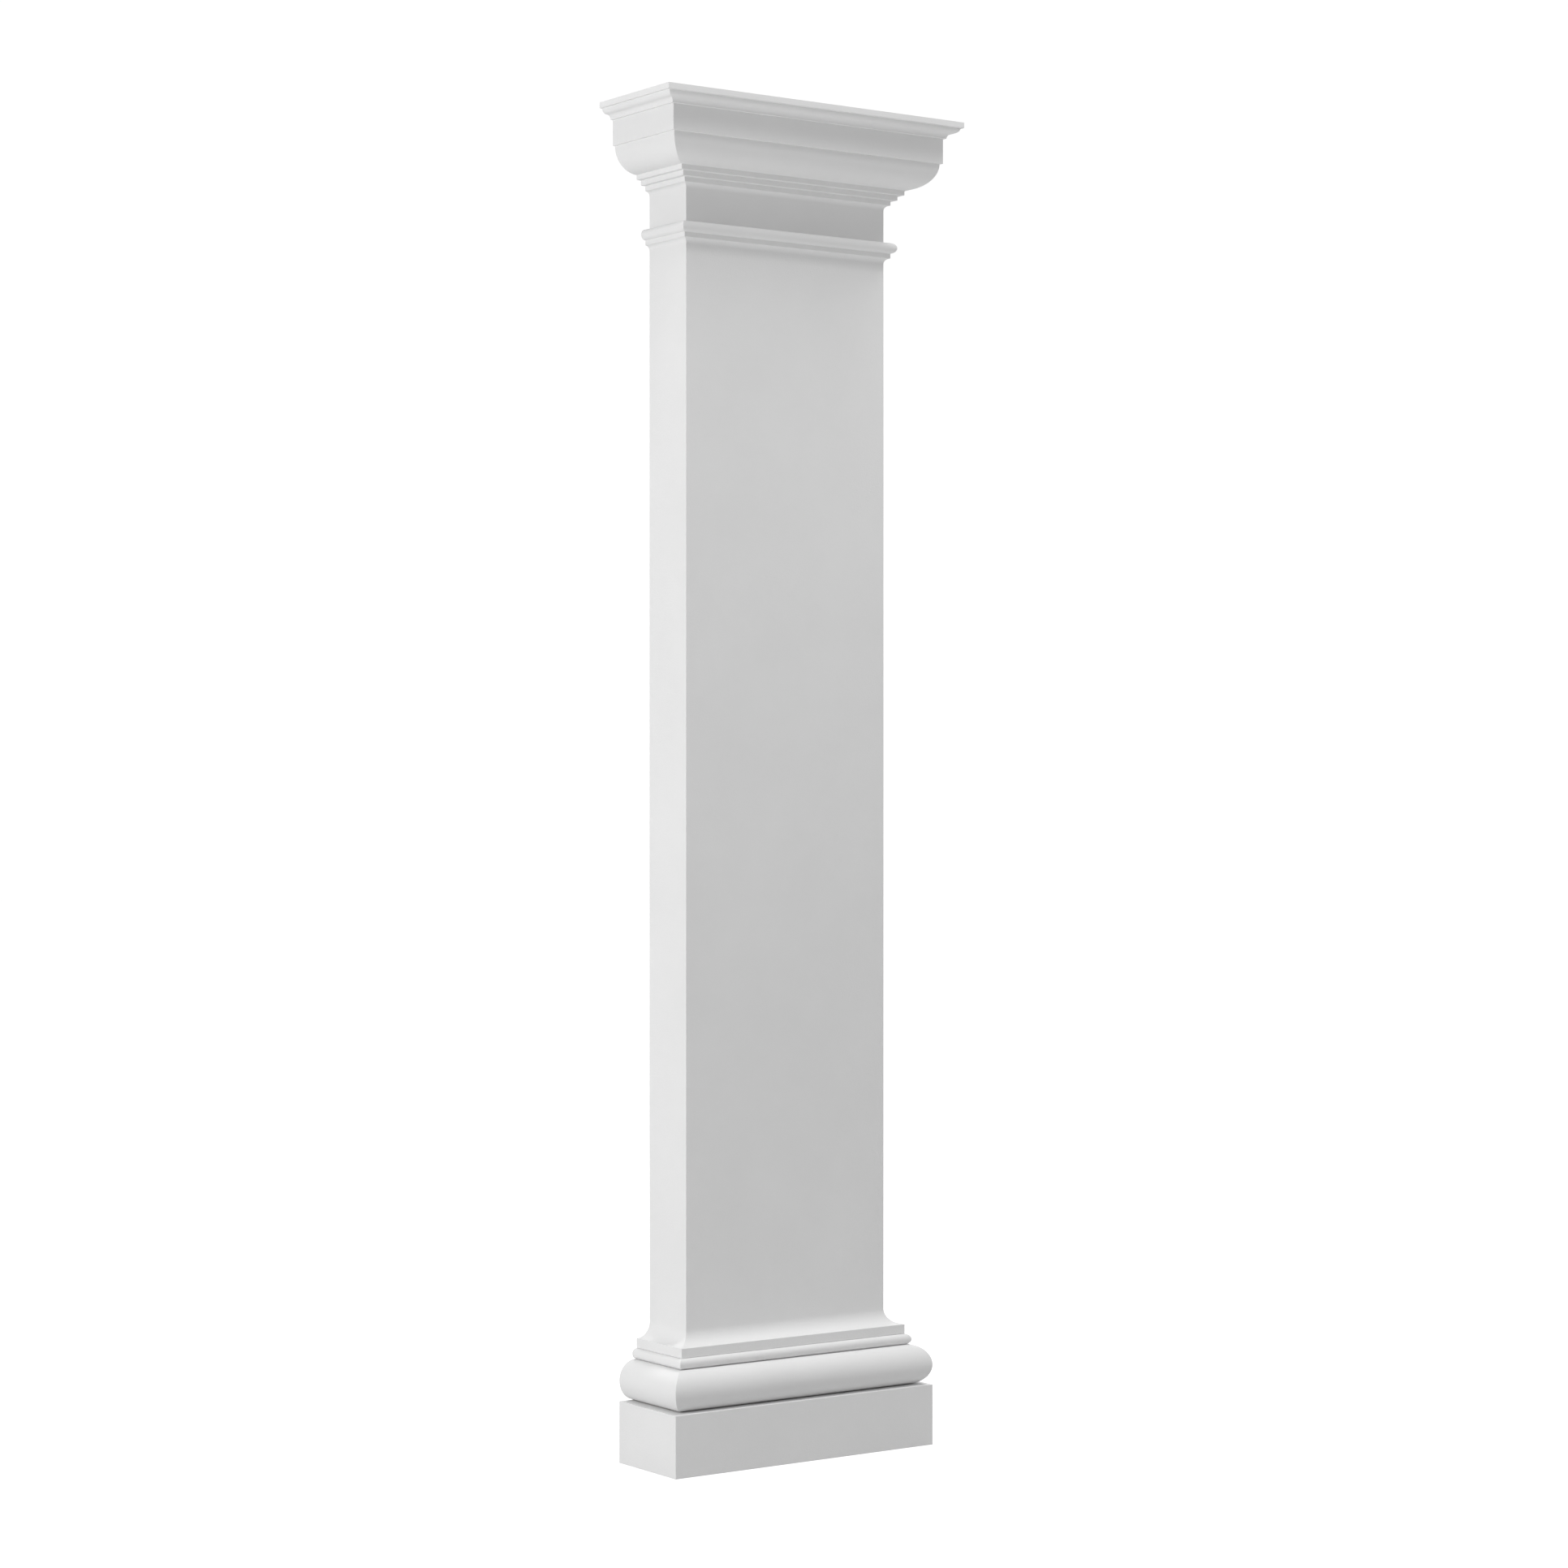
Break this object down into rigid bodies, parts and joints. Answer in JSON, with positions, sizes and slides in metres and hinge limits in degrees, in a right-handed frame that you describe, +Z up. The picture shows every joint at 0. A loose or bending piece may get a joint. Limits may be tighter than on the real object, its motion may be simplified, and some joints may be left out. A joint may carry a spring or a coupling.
{
  "type": "pilaster",
  "caption": "Plain Roman Doric wall pilaster: square plinth, torus base, straight unfluted shaft with astragal, and a moulded capital, with all mouldings returned to the wall.",
  "frame": {"origin": "on the floor, in the middle of the pilaster's overall width and depth", "axes": "+Z up the pilaster, +Y into the wall that it stands against, so its front looks along -Y, +X to the right seen from the front"},
  "size_m": [0.6686, 0.2318, 2.504],
  "materials": {
    "plinth_plaster": "matt white paint on smooth cast plaster",
    "base_plaster": "matt white paint on smooth cast plaster",
    "shaft_plaster": "matt white paint on smooth cast plaster",
    "capital_plaster": "matt white paint on smooth cast plaster"
  },
  "bodies": {
    "root": {"plinth": "plinth_plaster", "base_moulding": "base_plaster", "shaft": "shaft_plaster", "capital": "capital_plaster"}
  },
  "joints": []
}
